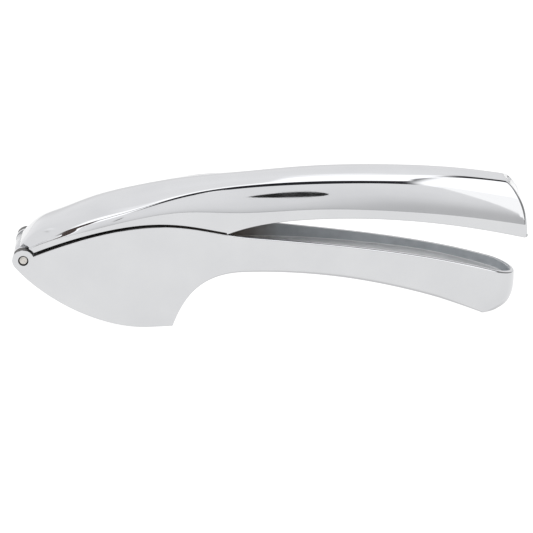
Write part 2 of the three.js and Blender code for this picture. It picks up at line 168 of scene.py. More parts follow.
lower_half = spline([
    (-92, 15.2), (-66, 16.5), (-48, 16.4), (-30, 14.9), (-12, 12.7), (12, 11.3), (45, 10.8),
    (88, 9.7),
])
upper_half = spline([
    (-92, 15.2), (-66, 16.5), (-48, 16.4), (-30, 14.9), (-12, 13), (15, 12.1), (45, 12.3),
    (70, 12), (93, 11.6),
])
LINES_X = (-90, -84, -76, -66, -48, -30, -12, 15, 45, 70, 93)


def line(*values):
    """One of the upper lever's long lines, through its value at each of the line stations."""
    return spline(list(zip(LINES_X, values)))


ridge_z = line(28.65, 34.9, 38.8, 42.8, 47.5, 50.2, 51.6, 53.2, 53.1, 51.1, 47.2)
shoulder_half = line(9, 9, 9.5, 10.2, 9.4, 7.2, 5.9, 6.5, 6.6, 5.8, 5.2)
shoulder_z = line(28.4, 34.2, 37.7, 41.1, 45.6, 48.9, 50.5, 51.9, 51.5, 49.9, 46.3)
crease_half = line(13, 13.5, 14.6, 15.6, 15.3, 13, 10.1, 9.4, 9.6, 8.7, 8.2)
crease_z = line(28, 31, 34.6, 38.2, 43, 47.3, 49.2, 50, 49.5, 47, 42.8)
band_z = line(27.4, 30.5, 33.4, 35.9, 39.9, 41.7, 40.4, 40.6, 39.2, 36.3, 32.3)
shoulder_slope = spline([(-84, 80), (-66, 74), (-48, 72), (-12, 68), (45, 66), (70, 76), (93, 80)])
shoulder_slope_below = spline([
    (-84, 80), (-66, 74), (-48, 72), (-12, 68), (45, 66), (70, 62), (93, 58),
])
crease_slope = spline([(-84, 62), (-66, 54), (-48, 52), (-12, 52), (45, 55), (70, 46), (93, 42)])
crease_slope_below = spline([
    (-84, 30), (-66, 27), (-48, 26), (-12, 24), (45, 25), (70, 36), (93, 40),
])
BAND_SLOPE = 10

EAR_FOOT = tuple(
    HINGE[k] + EAR_RADIUS * (math.cos, math.sin)[k](math.radians(220)) for k in (0, 1)
)
RIM = chain([
    (EAR_START, 27.3), (-70, 32.8), (-54, 37), (-41.5, 37), (-27.5, 37.1), (-18, 32.5), (-6, 30.9),
    (24, 27.1), (58, 23.5), (NOSE_X, NOSE_RIM),
])
NOSE = chain([(80, 0), (86.6, 0.3), (NOSE_X, 5), (NOSE_X, NOSE_RIM)])
UNDERSIDE = chain([
    (LAND[1], 0), (-29.8, 14), (-21.5, 18.9), (-8, 18.15), (20, 17.2), (48, 11.6),
    (TIP_START, TIP_HEIGHT),
])
BELLY = chain([EAR_FOOT, (-80, 10.4), (-60, 0), (LAND[0], 0)])
CHANNEL_FLOOR = chain([
    (CHANNEL_START, 11), (-33.5, 17), (-27, 24.9), (-8, 24.9), (10, 24.9), (24, 23.3), (44, 20.5),
    (60, 18.2), (72, 14.6), (NOSE_X - CHANNEL_WALL, 9.8),
])
HANDLE_EDGE = chain([
    (HEEL_X, 32.7), (-9, 34.6), (0.5, 37.2), (22, 37.25), (46, 37.3), (69, 34), (94, 27.5),
])


# ---- meshes ----


def mesh_object(name, vertices, faces, cut=False):
    """A mesh piece from millimetre vertices; a cutter's faces take the second material."""
    mesh = bpy.data.meshes.new(name)
    mesh.from_pydata([Vector(v) * MM for v in vertices], [], faces)
    for finish in LEVER_FINISHES:
        mesh.materials.append(finish)
    work = bmesh.new()
    work.from_mesh(mesh)
    bmesh.ops.remove_doubles(work, verts=work.verts, dist=1e-6)
    bmesh.ops.dissolve_degenerate(work, edges=work.edges, dist=1e-7)
    bmesh.ops.recalc_face_normals(work, faces=work.faces)
    for face in work.faces:
        face.material_index = AS_CAST if cut else POLISHED
        face.smooth = True
    work.to_mesh(mesh)
    work.free()
    made = bpy.data.objects.new(name, mesh)
    bpy.context.scene.collection.objects.link(made)
    return made


def skin(name, rings, cut=False):
    """A closed body over closed rings of equal length, with its two end rings filled in."""
    count = len(rings[0])
    faces = []
    for r in range(len(rings) - 1):
        for i in range(count):
            here = r * count + i
            near = r * count + (i + 1) % count
            faces.append((here, near, near + count, here + count))
    faces.append(tuple(range(count)))
    faces.append(tuple(range((len(rings) - 1) * count, len(rings) * count)))
    return mesh_object(name, [point for ring in rings for point in ring], faces, cut)


def side_slab(name, outline, y0, y1, cut=False):
    return skin(name, [[(x, y, z) for x, z in outline] for y in (y0, y1)], cut)


def plan_slab(name, outline, z0, z1, cut=False):
    return skin(name, [[(x, y, z) for x, y in outline] for z in (z0, z1)], cut)


def box(name, x0, x1, y0, y1, z0, z1, cut=False):
    return plan_slab(name, [(x0, y0), (x1, y0), (x1, y1), (x0, y1)], z0, z1, cut)


def turned(name, centre, profile, sides=48, cut=False):
    """A body of revolution about an axis across the press; profile is (radius, y) pairs."""
    rings = []
    for radius, y in profile:
        ring = []
        for i in range(sides):
            angle = 2 * math.pi * i / sides
            x = centre[0] + radius * math.cos(angle)
            ring.append((x, y, centre[1] + radius * math.sin(angle)))
        rings.append(ring)
    return skin(name, rings, cut)


def bar(name, centre, radius, y0, y1, chamfer=0.0, sides=48, cut=False):
    profile = [(radius, y0), (radius, y1)]
    if chamfer:
        profile = [
            (radius - chamfer, y0),
            (radius - 0.3 * chamfer, y0 + 0.3 * chamfer),
            (radius, y0 + chamfer),
            (radius, y1 - chamfer),
            (radius - 0.3 * chamfer, y1 - 0.3 * chamfer),
            (radius - chamfer, y1),
        ]
    return turned(name, centre, profile, sides, cut)


def combine(piece, other, operation):
    """A boolean with another body, which is used up."""
    step = piece.modifiers.new("step", "BOOLEAN")
    step.operation = operation
    step.solver = "MANIFOLD"
    step.object = other
    bpy.context.view_layer.update()
    evaluated = piece.evaluated_get(bpy.context.evaluated_depsgraph_get())
    result = bpy.data.meshes.new_from_object(evaluated)
    piece.modifiers.clear()
    used = piece.data
    piece.data = result
    bpy.data.meshes.remove(used)
    bpy.data.meshes.remove(other.data)


def cut_away(piece, *cutters):
    for cutter in cutters:
        combine(piece, cutter, "DIFFERENCE")


def join(piece, *others):
    for other in others:
        combine(piece, other, "UNION")


def smooth_surface(mesh):
    """A lookup of the smooth normal nearest to a place on a mesh."""
    corners = [vertex.co.copy() for vertex in mesh.vertices]
    normals = [vertex.normal.copy() for vertex in mesh.vertices]
    polygons = [tuple(polygon.vertices) for polygon in mesh.polygons]
    tree = BVHTree.FromPolygons(corners, polygons)

    def normal_at(place):
        found, _, index, distance = tree.find_nearest(place)
        polygon = polygons[index]
        weights = poly_3d_calc([corners[i] for i in polygon], found)
        blended = sum((normals[i] * w for i, w in zip(polygon, weights)), Vector((0, 0, 0)))
        return blended.normalized(), distance

    return normal_at


def settle_normals(piece, normal_at, sharp_angle=32):
    """Sharp edges by angle, and on the outer skin the normals it had before it was cut."""
    mesh = piece.data
    mesh.shade_smooth()
    mesh.set_sharp_from_angle(angle=math.radians(sharp_angle))
    normals = [Vector(corner.vector) for corner in mesh.corner_normals]
    if normal_at:
        for polygon in mesh.polygons:
            if polygon.material_index in (AS_CAST, IN_CHANNEL):
                continue
            for loop in polygon.loop_indices:
                place = mesh.vertices[mesh.loops[loop].vertex_index].co
                normal, distance = normal_at(place)
                if distance < 2e-5 and normal.dot(polygon.normal) > 0.7:
                    normals[loop] = normal
    mesh.normals_split_custom_set(normals)


# The third finish is painted shade for the gaps where the levers meet.
POLISHED, AS_CAST, SEAM_SHADE, IN_CHANNEL = range(4)  # a lever's finishes, as material numbers


def finish_faces(piece, finish_of):
    """Gives each face of a lever its finish; the cutters' faces come in as AS_CAST."""
    for polygon in piece.data.polygons:
        place = polygon.center / MM
        cut = polygon.material_index == AS_CAST
        polygon.material_index = finish_of(cut, polygon.normal, *place)


def spaced(values, least, most):
    """Sorted values with near-duplicates dropped and wide gaps filled evenly."""
    kept = []
    for value in sorted(values):
        if not kept or value - kept[-1] >= least:
            kept.append(value)
    filled = [kept[0]]
    for value in kept[1:]:
        gap = value - filled[-1]
        parts = max(1, math.ceil(gap / most))
        start = filled[-1]
        filled.extend(start + gap * k / parts for k in range(1, parts + 1))
    return filled


# ---- lower lever ----


@functools.cache
def rim_z(x):
    if x < EAR_START:
        reach = max(0.0, EAR_RADIUS**2 - (x - HINGE[0]) ** 2)
        return HINGE[1] + math.sqrt(reach)
    return solve(RIM, min(x, NOSE_X), 0)[1]


@functools.cache
def under_z(x):
    if x < EAR_FOOT[0]:
        reach = max(0.0, EAR_RADIUS**2 - (x - HINGE[0]) ** 2)
        return HINGE[1] - math.sqrt(reach)
    if x < LAND[0]:
        return solve(BELLY, x, 0)[1]
    if x < LAND[1]:
        return 0.0
    if x < TIP_START:
        return solve(UNDERSIDE, x, 0)[1]
    return max(0.0, TIP_HEIGHT * (TIP_REST - x) / (TIP_REST - TIP_START))


@functools.cache
def floor_z(x):
    return solve(CHANNEL_FLOOR, min(x, NOSE_X - CHANNEL_WALL), 0)[1]


@functools.cache
def nose_x(z):
    return solve(NOSE, min(max(z, 0.0), NOSE_RIM), 1)[0]


def leaned(x, z):
    """X of a point of the lower handle's end once the end leans in below its rim."""
    if x <= NOSE_LEAN_FROM:
        return x
    share = (nose_x(round(z, 5)) - NOSE_LEAN_FROM) / (NOSE_X - NOSE_LEAN_FROM)
    return NOSE_LEAN_FROM + (x - NOSE_LEAN_FROM) * share


@functools.cache
def foot_height(x, surface):
    """Height at which the leaning column over x meets a surface below it."""
    low, high = NOSE_LEAN_FROM, x
    if x <= NOSE_LEAN_FROM:
        return surface(x)
    for _ in range(36):
        middle = (low + high) / 2
        if middle < leaned(x, surface(middle)):
            low = middle
        else:
            high = middle
    return surface(low)


def plan_columns(stations):
    """Plan points of the lower lever's side with their outward normals, round the nose."""
    centre = NOSE_X - NOSE_RADIUS
    columns = []
    for x in stations:
        if x >= centre:
            break
        slope = (lower_half(x + 0.05) - lower_half(x - 0.05)) / 0.1
        length = math.hypot(1, slope)
        blend = max(0.0, (x - centre + 12) / 12) ** 2
        half = lower_half(x) * (1 - blend) + NOSE_RADIUS * blend
        columns.append(((x, half), (-slope / length * (1 - blend), 1 / length)))
    steps = 30
    for i in range(steps + 1):
        angle = math.pi / 2 * (1 - i / steps)
        normal = (math.cos(angle), math.sin(angle))
        columns.append(((centre + NOSE_RADIUS * normal[0], NOSE_RADIUS * normal[1]), normal))
    return columns


def column_body(name, columns, profile, cut=False):
    """A body from upright columns along one side of the press, mirrored to the other."""
    rings = []
    for column in columns:
        points = profile(*column)
        ring = points + [(x, -y, z) for x, y, z in reversed(points[1:-1])]
        rings.append(ring)
    return skin(name, rings, cut)


def lower_column(point, normal):
    """The lower lever's outside over one plan point, from its bottom centre to its top one."""
    rising = min(1.0, max(0.0, (point[0] + 33) / 60))
    falling = min(1.0, max(0.0, (point[0] - 60) / 18))
    fillet_wanted = EDGE_ROUND + 1.8 * rising - 1.6 * falling
    height = rim_z(point[0]) - foot_height(point[0], under_z)
    fillet = min(fillet_wanted, 0.42 * height)
    edge = min(EDGE_ROUND + 0.25 * rising, 0.42 * height)
    points = []

    def add(inset, share, lift, from_top):
        x = point[0] - inset * normal[0]
        y = max(0.0, point[1] - inset * normal[1]) * share
        z = rim_z(min(x, NOSE_X)) - lift if from_top else foot_height(x, under_z) + lift
        points.append((leaned(x, z), y, z))

    for share in (0, 0.2, 0.4, 0.6, 0.8):
        add(fillet, share, 0, False)
    for i in range(9):
        angle = math.pi / 2 * i / 8
        add(fillet * (1 - math.sin(angle)), 1, fillet * (1 - math.cos(angle)), False)
    low = foot_height(point[0], under_z) + fillet
    high = rim_z(point[0]) - edge
    for i in range(1, 12):
        z = low + (high - low) * i / 12
        points.append((leaned(point[0], z), point[1], z))
    for i in range(6):
        angle = math.pi / 2 * i / 5
        add(edge * (1 - math.cos(angle)), 1, edge * (1 - math.sin(angle)), True)
    for share in (0.8, 0.6, 0.4, 0.2, 0):
        add(edge, share, 0, True)
    return points


def outline_stations(*outlines):
    """Where along the press each arc of some outlines is sampled."""
    steps = 24
    return [
        on_arc(arc, i / steps)[0] for arcs in outlines for arc in arcs for i in range(steps + 1)
    ]


def lower_outside():
    ear = [HINGE[0] + EAR_RADIUS * math.cos(math.radians(a)) for a in range(0, 181, 5)]
    stations = [x for x in ear if x <= EAR_START] + [EAR_START, EAR_START + 0.1]
    stations += [LAND[0], LAND[1] - 0.15, LAND[1], LAND[1] + 0.15]
    stations += outline_stations(RIM, UNDERSIDE, BELLY)
    stations[stations.index(min(stations))] = HINGE[0] - EAR_RADIUS + 0.002
    columns = plan_columns(spaced(stations, 0.05, 1.2))
    return column_body("lower_lever", columns, lower_column)


def channel_column(point, normal):
    """The cutter of the handle's channel: a filleted floor, upright walls and a flared mouth."""
    points = []
    top = rim_z(point[0])
    floor = foot_height(point[0] - CHANNEL_WALL * normal[0], floor_z)
    fillet = min(CHANNEL_FILLET, 0.45 * (top - floor))
    low, high = floor + fillet, top - CHANNEL_MOUTH

    def add(inset, share, z):
        x = point[0] - inset * normal[0]
        y = max(0.0, point[1] - inset * normal[1]) * share
        points.append((leaned(x, z), y, z))

    for share in (0, 0.25, 0.5, 0.75):
        add(CHANNEL_WALL + fillet, share, floor)
    for i in range(9):
        angle = math.pi / 2 * i / 8
        inset = CHANNEL_WALL + fillet * (1 - math.sin(angle))
        add(inset, 1, floor + fillet * (1 - math.cos(angle)))
    for i in range(1, 8):
        add(CHANNEL_WALL, 1, low + (high - low) * i / 7)
    for i in range(1, 4):
        angle = math.radians(25) * i
        inset = CHANNEL_WALL - CHANNEL_MOUTH * (1 - math.cos(angle))
        add(inset, 1, high + CHANNEL_MOUTH * math.sin(angle))
    for share, z in ((1, top + 1), (1, OUT), (0.5, OUT), (0, OUT)):
        add(CHANNEL_WALL - CHANNEL_MOUTH, share, z)
    return points


def handle_channel():
    stations = outline_stations(RIM, CHANNEL_FLOOR)
    kept = [x for x in stations if x > CHANNEL_START] + [CHANNEL_START]
    return column_body("channel", plan_columns(spaced(kept, 0.1, 1.2)), channel_column, True)


def inset_plan(x0, x1, inset, corner, half=None):
    """Plan outline inside the lower lever's sides between two X, with rounded corners."""
    def reach(x):
        return half or lower_half(x) - inset

    side = []
    for i in range(7):
        angle = math.pi / 2 * i / 6
        x = x0 + corner * (1 - math.cos(angle))
        side.append((x, reach(x) - corner * (1 - math.sin(angle))))
    steps = 24
    for i in range(1, steps):
        x = x0 + corner + (x1 - x0 - 2 * corner) * i / steps
        side.append((x, reach(x)))
    for i in range(6, -1, -1):
        angle = math.pi / 2 * i / 6
        x = x1 - corner * (1 - math.cos(angle))
        side.append((x, reach(x) - corner * (1 - math.sin(angle))))
    return side + [(x, -y) for x, y in reversed(side)]


def chamber_well():
    above = plan_slab(
        "above", inset_plan(WELL_LEFT, WELL_RIGHT, WALL + 0.1, 1.6), LEDGE["top"], OUT, True
    )
    through_plan = inset_plan(LEDGE["left"], LEDGE["right"], 0, 3.0, LEDGE["half"])
    through = plan_slab("through", through_plan, LEDGE["bottom"] - 1, LEDGE["top"] + 1, True)
    wide = inset_plan(WELL_LEFT_BELOW, WELL_RIGHT, WALL + 0.1, 2.4)
    below = plan_slab("below", wide, -5, LEDGE["bottom"], True)
    sloped = [
        (-100, LEDGE["bottom"] + 5), (WELL_LEFT_BELOW, LEDGE["bottom"] + 5),
        (WELL_LEFT_BELOW, 14.8), (-71, 10.4), (-71, -6), (-100, -6),
    ]
    cut_away(below, side_slab("keep", sloped, -20, 20, True))
    return above, through, below


def hinge_slot():
    return (
        box("open", -2 * OUT, EAR_START, -EAR_INNER, EAR_INNER, -10, OUT, True),
        bar("round", HINGE, SLOT_RADIUS, -EAR_INNER, EAR_INNER, sides=64, cut=True),
        box("neck_room", EAR_START - 1, EAR_START + 6, -EAR_INNER, EAR_INNER, 26, OUT, True),
    )


def lower_lever():
    piece = lower_outside()
    normal_at = smooth_surface(piece.data)
    drill = bar("drill", HINGE, HINGE_HOLE_RADIUS, -20, 20, sides=64, cut=True)
    cut_away(piece, *chamber_well(), handle_channel(), *hinge_slot(), drill)
    finish_faces(piece, lower_finish)
    settle_normals(piece, normal_at)
    return piece


def lower_finish(cut, normal, x, y, z):
    """Which finish a face of the lower lever has, from its direction and place."""
    if cut:
        return IN_CHANNEL if x > CHANNEL_START else AS_CAST
    # The rim faces under the upper lever's head and the ears' tops take the painted seam shade.
    on_rim = normal.z > 0.6 and abs(z - rim_z(x)) < 0.15
    meets_upper_lever = EAR_START < x < HEEL_X and on_rim
    ear_top = x <= EAR_START and normal.z > 0.55 and abs(y) > EAR_INNER + 1.5
    return SEAM_SHADE if meets_upper_lever or ear_top else POLISHED


# ---- upper lever ----


def turn(start, start_slope, end, end_slope, t):
    """A point on the arc between two points of the half section, whose surface normals have
    the given slopes above the horizontal."""
    reach = math.dist(start, end) / 3

    def heading(slope):
        return reach * math.sin(math.radians(slope)), -reach * math.cos(math.radians(slope))

    out, back = heading(start_slope), heading(end_slope)
    near = (start[0] + out[0], start[1] + out[1])
    far = (end[0] - back[0], end[1] - back[1])
    return on_arc((start, near, far, end), t)


def lower_edge(x):
    if x > HEEL_X:
        return solve(HANDLE_EDGE, min(x, 94), 0)[1]
    share = (x - HINGE[0]) / (HEEL_X - HINGE[0])
    return rim_z(max(x, EAR_START)) + RIM_GAP_HINGE + (RIM_GAP_HEEL - RIM_GAP_HINGE) * share


@functools.cache
def lines_at(x):
    half = upper_half(x)
    return {
        "ridge": (0.0, ridge_z(x)),
        "shoulder": (shoulder_half(x), shoulder_z(x)),
        "crease": (crease_half(x), crease_z(x)),
        "band": (half, band_z(x)),
        "edge": (half, min(lower_edge(x), band_z(x) - 0.3)),
        "slopes": (
            shoulder_slope(x), shoulder_slope_below(x), crease_slope(x), crease_slope_below(x),
        ),
    }


def crown(x, t):
    at = lines_at(x)
    return turn(at["ridge"], 90, at["shoulder"], at["slopes"][0], t)


def cheek(x, t):
    at = lines_at(x)
    return turn(at["shoulder"], at["slopes"][1], at["crease"], at["slopes"][2], t)


def flank(x, t):
    at = lines_at(x)
    return turn(at["crease"], at["slopes"][3], at["band"], BAND_SLOPE, t)


# Length of each arm of the roundings over the crease and the shoulder.
crease_cut = spline([(-84, 0.6), (-60, 0.45), (-35, 0.45), (-12, 0.75), (45, 0.75), (93, 0.5)])
SHOULDER_CUT = 0.6
ARC_BELOW = {"ridge": crown, "shoulder": cheek, "crease": flank}


def arm_share(x, line_name, other_name):
    """Share of the arc between two lines that the rounding over the first one takes up."""
    cut = crease_cut(x) if line_name == "crease" else SHOULDER_CUT
    at = lines_at(x)
    return min(0.4, cut / math.dist(at[line_name], at[other_name]))


def softened(x, t, above, here, below):
    """A point on the rounding over a line of the section, between the lines beside it."""
    start = ARC_BELOW[above](x, 1 - arm_share(x, here, above))
    end = ARC_BELOW[here](x, arm_share(x, here, below))
    corner = lines_at(x)[here]
    weights = ((1 - t) ** 2, 2 * t * (1 - t), t * t)
    return tuple(sum(w * p[k] for w, p in zip(weights, (start, corner, end))) for k in (0, 1))


def section_rows():
    """The rows of the upper lever's half section, from its ridge to its lower edge."""
    def over_crown(x, t):
        return crown(x, t * (1 - arm_share(x, "shoulder", "ridge")))

    def along_cheek(x, t):
        first = arm_share(x, "shoulder", "crease")
        last = 1 - arm_share(x, "crease", "shoulder")
        return cheek(x, first + (last - first) * t)

    def down_flank(x, t):
        first = arm_share(x, "crease", "band")
        return flank(x, first + (1 - first) * t)

    def edge_radius(at):
        return min(EDGE_ROUND, 0.5 * (at["band"][1] - at["edge"][1]))

    def down_band(x, t):
        at = lines_at(x)
        low = at["edge"][1] + edge_radius(at)
        return at["band"][0], at["band"][1] + (low - at["band"][1]) * t

    def round_edge(x, t):
        at = lines_at(x)
        radius = edge_radius(at)
        angle = math.pi / 2 * t
        across = at["edge"][0] - radius * (1 - math.cos(angle))
        return across, at["edge"][1] + radius * (1 - math.sin(angle))

    def over_shoulder(x, t):
        return softened(x, t, "ridge", "shoulder", "crease")

    def over_crease(x, t):
        return softened(x, t, "shoulder", "crease", "band")

    stretches = (
        (over_crown, 0, 12, 12), (over_shoulder, 0, 7, 6), (along_cheek, 1, 8, 8),
        (over_crease, 0, 11, 10), (down_flank, 1, 17, 16), (down_band, 1, 6, 5),
        (round_edge, 1, 6, 5),
    )
    rows = []
    for follow, first, stop, steps in stretches:
        rows.extend(functools.partial(follow, t=i / steps) for i in range(first, stop))
    return rows


END_BACK = 92.1  # the upper handle's end, at its lowest
END_BOW = 0.00083
END_LEVEL = 28.3
END_ROUND = 1.3
END_ZONE = 62.0  # from here on the sections lean over to meet the curved end


def end_x(z):
    return END_BACK - END_BOW * max(0.0, z - END_LEVEL) ** 3


def leaning_point(row, share, set_back):
    """Where a row of the section is, a share of the way from the end zone's start to the end."""
    x = END_ZONE
    for _ in range(24):
        y, z = row(x)
        x = 0.5 * x + 0.5 * (END_ZONE + share * (end_x(z) - set_back - END_ZONE))
    y, z = row(x)
    return (x, y, z)


def upper_outside():
    rows = section_rows()
    stations = [-89.0]
    while stations[-1] < END_ZONE:
        here = stations[-1]
        step = 0.5 if here < -70 or -17 < here < -9 else 1.0
        stations.append(min(END_ZONE, here + step))
    stations.extend([HEEL_X - 0.15, HEEL_X - 0.05, HEEL_X + 0.05, HEEL_X + 0.2])
    rings = []
    for x in spaced(stations, 0.04, 1.2)[:-1]:
        rings.append([(x, *row(x)) for row in rows])
    steps = 26
    for i in range(steps + 1):
        rings.append([leaning_point(row, i / steps, END_ROUND) for row in rows])
    rings.extend(end_rounding(rows))
    full = []
    for ring in rings:
        full.append(ring + [(x, -y, z) for x, y, z in reversed(ring[1:])])
    return upper_skin(full)


def end_rounding(rows):
    """Rings that turn the skin inwards over the handle's end."""
    made = []
    steps = 7
    for i in range(1, steps + 1):
        angle = math.pi / 2 * i / steps
        back = END_ROUND * (1 - math.sin(angle))
        inset = END_ROUND * (1 - math.cos(angle))
        ring = [leaning_point(row, 1, back) for row in rows]
        count = len(ring)
        inner = []
        for j, (x, y, z) in enumerate(ring):
            before = ring[max(0, j - 1)]
            after = ring[min(count - 1, j + 1)]
            along = (after[1] - before[1], after[2] - before[2])
            if j == 0:
                along = (1.0, 0.0)
            length = math.hypot(*along)
            normal = (-along[1] / length, along[0] / length)
            inner.append((x, max(0.0, y - inset * normal[0]), z - inset * normal[1]))
        made.append(inner)
    return made


def upper_skin(rings):
    """The upper lever's outside: its rings, and a curved face over the end of the handle."""
    count = len(rings[0])
    half = (count + 1) // 2
    faces = []
    for r in range(len(rings) - 1):
        for i in range(count):
            here = r * count + i
            near = r * count + (i + 1) % count
            faces.append((here, near, near + count, here + count))
    for start in (0, (len(rings) - 1) * count):
        for i in range(1, half - 1):
            left = start + count - i
            faces.append((start + i, start + i + 1, left - 1, left))
        faces.append((start, start + 1, start + count - 1))
    vertices = [point for ring in rings for point in ring]
    return mesh_object("upper_lever", vertices, faces)


def hollow():
    """The cutter of the hollow under the upper lever."""
    def half_ring(x):
        top = (0.0, ridge_z(x) - 2.6)
        bend = (crease_half(x) - 2, crease_z(x) - 2.2)
        side = (upper_half(x) - WALL, band_z(x) - 0.6)
        points = [turn(top, 90, bend, 52, i / 8) for i in range(8)]
        points += [turn(bend, 44, side, 4, i / 8) for i in range(9)]
        points.append((upper_half(x) - WALL, 20.0))
        return points

    rings = []
    for i in range(91):
        share = i / 90
        ring = []
        for j in range(len(half_ring(0))):
            x = HOLLOW_START + share * (END_BACK - WALL - HOLLOW_START)
            for _ in range(10):
                z = half_ring(x)[j][1]
                x = HOLLOW_START + share * (end_x(z) - WALL - HOLLOW_START)
            ring.append((x, *half_ring(x)[j]))
        rings.append(ring + [(x, -y, z) for x, y, z in reversed(ring[1:])])
    return skin("hollow", rings, True)


def neck():
    outline = [
        (-88.6, 28.4), (-84, 31.5), (-79.6, 33), (-79.4, 30), (-81, 28.8), (-83.95, 26.2),
        (-86, 25),
    ]
    return side_slab("neck", outline, -BARREL_HALF, BARREL_HALF, True)


def lugs():
    made = []
    for side in (-1, 1):
        y0, y1 = sorted((side * LUG_INNER, side * LUG_OUTER))
        outline = [(PIVOT[0] - BOSS_RADIUS, 43.6), (PIVOT[0] + BOSS_RADIUS, 43.6)]
        for i in range(25):
            angle = -math.pi * i / 24
            x = PIVOT[0] + BOSS_RADIUS * math.cos(angle)
            outline.append((x, PIVOT[1] + BOSS_RADIUS * math.sin(angle)))
        made.append(side_slab("lug", outline, y0, y1, True))
    return made


def upper_lever():
    piece = upper_outside()
    normal_at = smooth_surface(piece.data)
    for side in (-1, 1):
        y0, y1 = sorted((side * 20, side * BARREL_HALF))
        cut_away(piece, bar("sweep", HINGE, EAR_SWEEP_CLEARANCE, y0, y1, sides=72, cut=True))
    cut_away(piece, hollow())
    barrel = bar("barrel", HINGE, BARREL_RADIUS, -BARREL_HALF, BARREL_HALF, 0.3, 72, True)
    join(piece, neck(), *lugs(), barrel)
    cut_away(
        piece,
        bar("hinge_hole", HINGE, HINGE_HOLE_RADIUS, -20, 20, cut=True),
        bar("pivot_hole", PIVOT, PLUNGER_HOLE_RADIUS, -LUG_OUTER - 0.5, LUG_OUTER + 0.5, cut=True),
    )
    finish_faces(piece, upper_finish)
    settle_normals(piece, normal_at)
    return piece


def upper_finish(cut, normal, x, y, z):
    """Which finish a face of the upper lever has, from its direction and place."""
    # Faces swept round the ears and the head's downward faces take the painted seam shade.
    if cut:
        from_hinge = math.hypot(x - HINGE[0], z - HINGE[1])
        swept = abs(from_hinge - EAR_SWEEP_CLEARANCE) < 0.1 and abs(y) > BARREL_HALF
        return SEAM_SHADE if swept else AS_CAST
    return SEAM_SHADE if x < HEEL_X and normal.z < -0.6 else POLISHED


# ---- basket, plunger and pins ----


def rounded_plan(x0, x1, half, radius, steps=8):
    outline = []
    corners = (
        (x1 - radius, half - radius, 0), (x0 + radius, half - radius, 90),
        (x0 + radius, radius - half, 180), (x1 - radius, radius - half, 270),
    )
    for x, y, start in corners:
        for i in range(steps + 1):
            angle = math.radians(start + 90 * i / steps)
            outline.append((x + radius * math.cos(angle), y + radius * math.sin(angle)))
    return outline


def leaning_wall(z):
    return CHAMBER_LEFT - CHAMBER_LEAN * (z - BASKET_BASE - BASKET_WALL) ** 2


def chamber_rings(grow, levels):
    """Rings of the chamber's wall, each level being a height and an inset of the wall there."""
    rings = []
    for z, inset in levels:
        out = grow - inset
        plan = rounded_plan(leaning_wall(z) - out, CHAMBER_RIGHT + out, CHAMBER_HALF + out, 3 + out)
        rings.append([(x, y, z) for x, y in plan])
    return rings


def filleted_levels(z0, z1, fillet, steps=14):
    """Heights from a filleted floor up a wall, each with its inset from the wall."""
    levels = []
    for i in range(6):
        angle = math.pi / 2 * i / 5
        levels.append((z0 + fillet * (1 - math.cos(angle)), fillet * (1 - math.sin(angle))))
    for i in range(1, steps + 1):
        levels.append((z0 + fillet + (z1 - z0 - fillet) * i / steps, 0.0))
    return levels


def plate(name, plan_at, z0, z1, edge, cut=False):
    """A flat plate with rounded edges; plan_at gives its outline for an inset."""
    rings = []
    for angle in (0, 30, 60, 90):
        a = math.radians(angle)
        rings.append((edge * (1 - math.sin(a)), z0 + edge * (1 - math.cos(a))))
    for angle in (90, 60, 30, 0):
        a = math.radians(angle)
        rings.append((edge * (1 - math.sin(a)), z1 - edge * (1 - math.cos(a))))
    return skin(name, [[(x, y, z) for x, y in plan_at(inset)] for inset, z in rings], cut)


def sieve_drills():
    vertices, faces = [], []
    sides = 18
    row_step = SIEVE_PITCH * math.sin(math.pi / 3)
    middle = (CHAMBER_LEFT + CHAMBER_RIGHT) / 2
    for row in range(-4, 5):
        shift = 0 if row % 2 == 0 else SIEVE_PITCH / 2
        reach = 10.8 if abs(row) == 4 else 12.4
        for column in range(-5, 6):
            x = middle + column * SIEVE_PITCH + shift
            if abs(x - middle) >= reach:
                continue
            start = len(vertices)
            for z in (BASKET_BASE - 1, BASKET_BASE + BASKET_WALL + 1):
                for i in range(sides):
                    angle = 2 * math.pi * i / sides
                    dx = SIEVE_HOLE_RADIUS * math.cos(angle)
                    dy = SIEVE_HOLE_RADIUS * math.sin(angle)
                    vertices.append((x + dx, row * row_step + dy, z))
            for i in range(sides):
                near = (i + 1) % sides
                faces.append((start + i, start + near, start + near + sides, start + i + sides))
            faces.append(tuple(range(start, start + sides)))
            faces.append(tuple(range(start + sides, start + 2 * sides)))
    return mesh_object("drills", vertices, faces)


def strainer_basket():
    floor_top = BASKET_BASE + BASKET_WALL
    outside = filleted_levels(BASKET_BASE, BASKET_TOP, 1.4)
    inside = filleted_levels(floor_top, BASKET_TOP + 1, 0.7)
    piece = skin("basket", chamber_rings(BASKET_WALL, outside))

    def flange_plan(inset):
        left, right = FLANGE["left"] + inset, FLANGE["right"] - inset
        return rounded_plan(left, right, FLANGE["half"] - inset, 2)

    flange = plate("flange", flange_plan, BASKET_TOP - FLANGE["thick"], BASKET_TOP, 0.25)
    join(piece, flange)
    cut_away(piece, skin("room", chamber_rings(0, inside)), sieve_drills())
    settle_normals(piece, None)
    return piece


